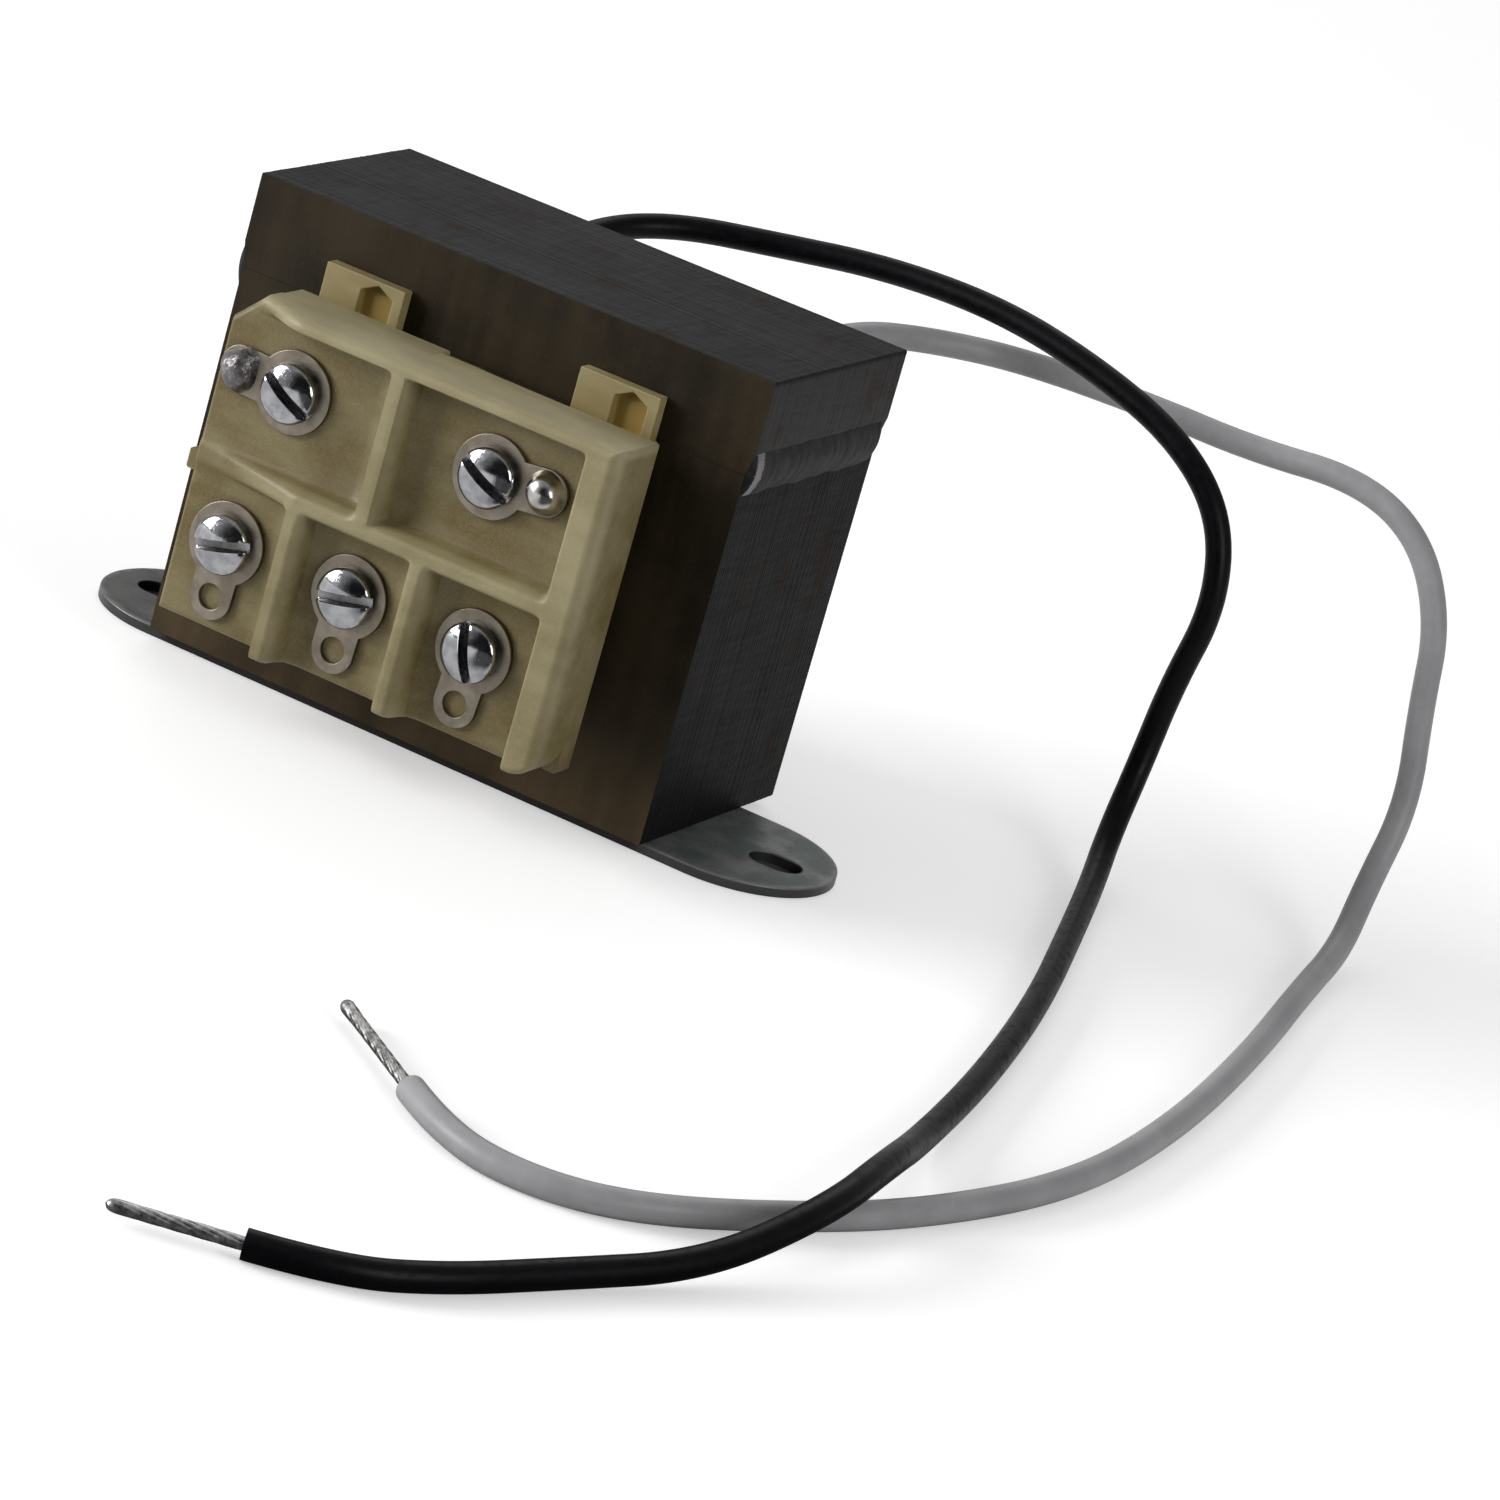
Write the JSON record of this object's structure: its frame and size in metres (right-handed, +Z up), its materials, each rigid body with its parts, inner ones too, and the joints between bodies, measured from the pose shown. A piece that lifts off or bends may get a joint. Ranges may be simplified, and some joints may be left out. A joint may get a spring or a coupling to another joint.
{
  "type": "foot mount transformer",
  "caption": "Small open transformer with a laminated core on a slotted foot strap, a moulded screw terminal board in front and loose insulated leads from the rear.",
  "frame": {"origin": "on the underside of the foot strap, under the middle of the core's width and 12.3 mm behind the core's front face", "axes": "+X along the foot strap, +Y to the rear of the core, +Z up; the terminals face -Y"},
  "size_m": [0.1554, 0.2225, 0.0574],
  "materials": {
    "core_varnish": "black-brown varnish over steel laminations",
    "weld_metal": "varnished weld bead",
    "strap_steel": "dull oiled steel",
    "former_plastic": "moulded tan plastic",
    "board_plastic": "moulded tan plastic",
    "winding_copper": "enamelled copper wire",
    "insulation_paper": "insulating paper",
    "wrap_tape": "dark varnished cloth tape",
    "insert_brass": "turned brass",
    "lug_metal": "tinned stamping",
    "screw_plating": "bright zinc plating",
    "solder": "bright solder",
    "black_insulation": "extruded black insulation",
    "white_insulation": "extruded greyish white insulation",
    "tinned_wire": "tinned wire strands"
  },
  "bodies": {
    "root": {"black_lead": "black_insulation", "black_lead_end": "tinned_wire", "coil_former": "former_plastic", "coil_wrap": "wrap_tape", "e_lamination_stack": "core_varnish", "foot_strap": "strap_steel", "i_lamination_stack": "core_varnish", "interwinding_tape": "insulation_paper", "left_tack_weld": "weld_metal", "left_weld_bead": "weld_metal", "primary_winding": "winding_copper", "right_tack_weld": "weld_metal", "right_weld_bead": "weld_metal", "secondary_lead_left": "winding_copper", "secondary_lead_right": "winding_copper", "secondary_winding": "winding_copper", "solder_joint_left": "solder", "solder_joint_right": "solder", "terminal_board": "board_plastic", "terminal_insert_lower_left": "insert_brass", "terminal_insert_lower_middle": "insert_brass", "terminal_insert_lower_right": "insert_brass", "terminal_insert_upper_left": "insert_brass", "terminal_insert_upper_right": "insert_brass", "terminal_lug_lower_left": "lug_metal", "terminal_lug_lower_middle": "lug_metal", "terminal_lug_lower_right": "lug_metal", "terminal_lug_upper_left": "lug_metal", "terminal_lug_upper_right": "lug_metal", "terminal_screw_lower_left": "screw_plating", "terminal_screw_lower_middle": "screw_plating", "terminal_screw_lower_right": "screw_plating", "terminal_screw_upper_left": "screw_plating", "terminal_screw_upper_right": "screw_plating", "white_lead": "white_insulation", "white_lead_end": "tinned_wire"}
  },
  "joints": []
}
